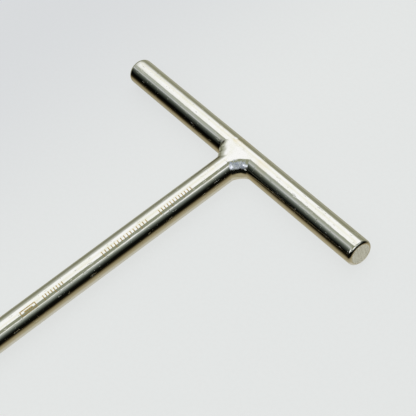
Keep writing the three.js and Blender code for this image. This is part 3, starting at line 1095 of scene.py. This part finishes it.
def buildScrew(node, name, settings):
    low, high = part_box(node)
    headRadius, end = (high.x - low.x) / 2, (high.z - low.z) / 2
    body, rim = settings["bodyRadius"], settings["headRim"]
    coneBottom = end - rim - (headRadius - body)
    pitch, runOut = settings["threadPitch"], settings["runOut"]
    tip = settings["tipLength"]
    profile = [(-end, 0), (-end, body - settings["tipTaper"]), (-end + tip, body - settings["tipStep"])]
    threadStart, threadStop = -end + tip + settings["tipGap"], coneBottom - tip
    profile += [(z, body) for z in spread(threadStart, threadStop, pitch / settings["threadRings"])]
    profile += [(coneBottom, body), (end - rim, headRadius)]
    profile += [(end - down * mm, headRadius - inward * mm) for down, inward in settings["headEdge"]]
    profile.append((end, 0))
    bm = turnedForm(profile, settings["sides"])
    for vert in bm.verts:
        if -end + runOut < vert.co.z < coneBottom - runOut and vert.co.xy.length > body * 0.9:
            angle = math.atan2(vert.co.y, vert.co.x)
            wave = 0.5 - 0.5 * math.cos(angle - 2 * math.pi * vert.co.z / pitch)
            vert.co.xy *= 1 - wave * settings["threadDepth"] / body
    centre = middleOf(node)
    bm.transform(Matrix.Translation(centre))
    piece = addPiece(name, bm, [screwSteel], [node], settings["sharpAngle"])
    flat, lip, rise = settings["socketRadius"], settings["mouthLip"], settings["mouthRise"]
    corner = flat / math.cos(math.pi / 6)
    floor = end - settings["socketDepth"]
    socket = [(floor - settings["drillPoint"], 0), (floor, corner), (end + past, corner), (end + past, 0)]
    mouth = [(end - lip - flat, 0), (end + rise, flat + lip + rise), (end + rise, 0)]
    cutters = [turnedCutter(socket, alongZ, centre, 6), turnedCutter(mouth, alongZ, centre)]
    cutAway(piece, cutters, settings["socketSharpAngle"])


buildScrew("comb_screw_left", "comb_screw_left_hex", screwSet)
buildScrew("comb_screw_right", "comb_screw_right_hex", screwSet)
print("screws in")


stageSet = {
    "paper": fromSrgb(226, 228, 227),
    "paperShade": fromSrgb(214, 216, 218),
    "shadeStart": (5 * mm, 105 * mm),  # the shade comes in between these distances towards -X
    "shadeStop": (500 * mm, 200 * mm),
    "grain": ((900, 900, 900), 3.0, 0.6),
    "grainRange": (0.3, 0.7, 0.0, 0.035),
    "grainTone": (0.5, 0.5, 0.5),
    "diffuse": (0.12, 0.12, 0.12, 1),
    "glow": 0.93,  # share of the floor's tone that is its own light, which keeps shadows faint
    "size": 2.4,
    "drop": 0.05 * mm,
}

# Colours that the steel picks up, by height of the direction they come from: -1 straight down, 1 straight up.
roomFront = [
    (-1.00, (186, 182, 168)), (-0.90, (180, 174, 154)), (-0.84, (164, 154, 126)), (-0.66, (152, 141, 112)),
    (-0.53, (136, 125, 96)), (-0.40, (88, 77, 52)), (-0.27, (30, 25, 14)), (-0.14, (8, 7, 4)),
    (0.08, (4, 4, 2)), (0.18, (14, 15, 12)), (0.31, (43, 47, 42)), (0.43, (70, 73, 64)),
    (0.54, (103, 109, 101)), (0.64, (146, 151, 143)), (0.71, (172, 176, 166)), (0.79, (152, 155, 140)),
    (0.88, (138, 140, 118)), (1.00, (136, 138, 116)),
]
roomBack = [
    (-1.00, (176, 172, 158)), (-0.75, (146, 142, 119)), (-0.60, (154, 149, 125)), (-0.25, (156, 155, 135)),
    (-0.05, (132, 131, 108)), (0.22, (140, 138, 114)), (0.32, (156, 157, 139)), (0.55, (186, 186, 172)),
    (1.00, (118, 120, 96)),
]

# Rectangular lamps far away: aim is where one hangs, across its long side; wide and high are its edges
# as seen from the tool, and the soft pairs how far those edges fade.
roomLamps = {
    "window": {"aim": (-0.36, 0.24, 0.90), "across": (1, 0, 0.4), "slant": 0.2,
               "wide": (-0.50, 0.61), "wideSoft": (0.16, 0.045),
               "high": (-0.34, 0.80), "highSoft": (0.035, 0.08)},
    "windowLine": {"aim": (-0.36, 0.24, 0.90), "across": (0.568, 0.823, 0.008), "slant": 0.0,
                   "wide": (-0.035, 0.09), "wideSoft": (0.08, 0.08),
                   "high": (-1.2, 1.2), "highSoft": (0.1, 0.1)},
    "rightStrip": {"aim": (0.60, 0.26, 0.76), "across": (0.76, 0, -0.60), "slant": 0.0,
                   "wide": (-0.045, 0.045), "wideSoft": (0.03, 0.03),
                   "high": (-0.5, 0.5), "highSoft": (0.1, 0.1)},
    "frontStrip": {"aim": (-0.60, -0.46, 0.65), "across": (0, 0.65, 0.46), "slant": 0.0,
                   "wide": (-0.05, 0.05), "wideSoft": (0.03, 0.03),
                   "high": (-0.6, 0.6), "highSoft": (0.1, 0.1)},
}

# The rest of the room. An aim is a direction; a range is between which shares of it something fades in.
roomSet = {
    "reflectance": (0.79, 0.76, 0.68),  # of the steel; the room is made brighter by this much
    "lampTone": (243, 242, 239),
    "windowGlow": 1.02,
    "frontGlow": 0.55,
    "bulbs": ((-0.155, -0.81, 0.564), (0.622, -0.242, 0.745)),
    "bulbRange": (0.955, 0.985),
    "bulbGlow": 1.05,
    "windowLineTone": (0.93, 0.92, 0.82),
    "backAim": (-0.82, 0.57, 0),
    "backRange": (0.25, 0.7),
    "rightDarkAim": (0.97, 0.22, 0.03),
    "rightDarkRange": (0.95, 0.99),
    "frontDarkAim": (0.55, -0.83, 0),
    "frontDarkRange": (0.55, 0.72),
    "frontDarkLow": (-0.5, -0.3),
    "frontDarkHigh": (0.5, 0.38),
    "darkTone": (0.004, 0.004, 0.003),
    "leftAim": (-0.97, 0.2, 0.12),
    "leftRange": (0.84, 0.97, 1.0, 0.8),
    "secondDepth": 2.5,  # ray depth above which a reflection is seen in a reflection
    "secondTone": (0.45, 0.45, 0.45),
}


def roomStops(bands):
    return [((height + 1) / 2, tuple(lampColor(color))) for height, color in bands]


def lampColor(color, brightness=1.0):
    shares = zip(fromSrgb(*color), roomSet["reflectance"])
    return [value / share * brightness for value, share in shares]


def lampMask(tree, direction, lamp):
    aim = Vector(lamp["aim"]).normalized()
    across = Vector(lamp["across"])
    across = (across - across.dot(aim) * aim).normalized()
    upward = aim.cross(across)
    ahead = valueNode(tree, "MAXIMUM", dotNode(tree, direction, aim), 0.02)
    product = fadeNode(tree, dotNode(tree, direction, aim), 0.05, 0.12)  # nothing behind the tool
    for side, edges, soft in ((across + upward * lamp["slant"], "wide", "wideSoft"),
                              (upward, "high", "highSoft")):
        (low, high), (softLow, softHigh) = lamp[edges], lamp[soft]
        share = valueNode(tree, "DIVIDE", dotNode(tree, direction, side), ahead)
        product = timesNode(tree, product, fadeNode(tree, share, low - softLow, low + softLow))
        product = timesNode(tree, product, fadeNode(tree, share, high + softHigh, high - softHigh))
    return product


def buildRoom(settings, lamps):
    world = bpy.data.worlds.new("studio")
    bpy.context.scene.world = world
    world.use_nodes = True
    tree = world.node_tree
    tree.nodes.clear()
    direction = tree.nodes.new("ShaderNodeTexCoord").outputs["Generated"]
    path = tree.nodes.new("ShaderNodeLightPath")

    def towards(aim, fade):
        return fadeNode(tree, dotNode(tree, direction, settings[aim]), *settings[fade])

    def lit(room, lamp, brightness):
        glow = lampColor(settings["lampTone"], brightness)
        return mixNode(tree, lampMask(tree, direction, lamps[lamp]), room, glow)

    second = valueNode(tree, "GREATER_THAN", path.outputs["Ray Depth"], settings["secondDepth"])
    height = dotNode(tree, direction, (0, 0, 1))
    rampPlace = fadeNode(tree, height, -1.0, 1.0, shape="LINEAR")
    room = mixNode(tree, towards("backAim", "backRange"), rampNode(tree, rampPlace, roomStops(roomFront)),
                   rampNode(tree, rampPlace, roomStops(roomBack)))
    # dark things stand to the right and in front
    belowFade = fadeNode(tree, height, *settings["frontDarkHigh"])
    front = timesNode(tree, towards("frontDarkAim", "frontDarkRange"),
                      fadeNode(tree, height, *settings["frontDarkLow"]))
    front = timesNode(tree, front, valueNode(tree, "MAXIMUM", belowFade, second))
    for shade in (towards("rightDarkAim", "rightDarkRange"), front):
        room = mixNode(tree, shade, room, settings["darkTone"])
    room = mixNode(tree, 1.0, room, towards("leftAim", "leftRange"), "MULTIPLY")
    room = lit(room, "frontStrip", settings["frontGlow"])
    for aim in settings["bulbs"]:
        bulb = fadeNode(tree, dotNode(tree, direction, aim), *settings["bulbRange"])
        bulb = valueNode(tree, "SUBTRACT", bulb, second, clamp=True)
        room = mixNode(tree, bulb, room, lampColor(settings["lampTone"], settings["bulbGlow"]))
    room = lit(room, "rightStrip", 1.0)
    room = lit(room, "window", settings["windowGlow"])
    room = mixNode(tree, lampMask(tree, direction, lamps["windowLine"]), room,
                   settings["windowLineTone"], "MULTIPLY")
    room = mixNode(tree, second, room, settings["secondTone"], "MULTIPLY")
    room = mixNode(tree, path.outputs["Is Camera Ray"], room, stageSet["paper"])
    background = tree.nodes.new("ShaderNodeBackground")
    tree.links.new(room, background.inputs["Color"])
    output = tree.nodes.new("ShaderNodeOutputWorld")
    tree.links.new(background.outputs["Background"], output.inputs["Surface"])


def buildFloor(settings):
    bm = bmesh.new()
    bmesh.ops.create_grid(bm, x_segments=2, y_segments=2, size=settings["size"] / 2)
    mesh = bpy.data.meshes.new("floor")
    bm.to_mesh(mesh)
    bm.free()
    floor = bpy.data.objects.new("floor", mesh)
    floor.location = (0, 0, cadLow.z - settings["drop"])
    bpy.context.scene.collection.objects.link(floor)
    material = bpy.data.materials.new("floorPaper")
    material.use_nodes = True
    tree = material.node_tree
    tree.nodes.clear()
    glow = tree.nodes.new("ShaderNodeEmission")
    toLeft = dotNode(tree, placeNode(tree), (-1, 0, 0))
    shade = timesNode(tree, fadeNode(tree, toLeft, *settings["shadeStart"]),
                      fadeNode(tree, toLeft, *settings["shadeStop"]))
    grain = fadeNode(tree, noiseNode(tree, *settings["grain"]), *settings["grainRange"])
    paper = mixNode(tree, shade, settings["paper"], settings["paperShade"])
    paper = mixNode(tree, grain, paper, settings["grainTone"])
    tree.links.new(paper, glow.inputs["Color"])
    glow.inputs["Strength"].default_value = settings["glow"]
    dull = tree.nodes.new("ShaderNodeBsdfDiffuse")
    dull.inputs["Color"].default_value = settings["diffuse"]
    both = tree.nodes.new("ShaderNodeAddShader")
    tree.links.new(glow.outputs["Emission"], both.inputs[0])
    tree.links.new(dull.outputs["BSDF"], both.inputs[1])
    output = tree.nodes.new("ShaderNodeOutputMaterial")
    tree.links.new(both.outputs["Shader"], output.inputs["Surface"])
    mesh.materials.append(material)
    floor.visible_glossy = False  # the steel mirrors the room instead


buildRoom(roomSet, roomLamps)
buildFloor(stageSet)
print("stage set")
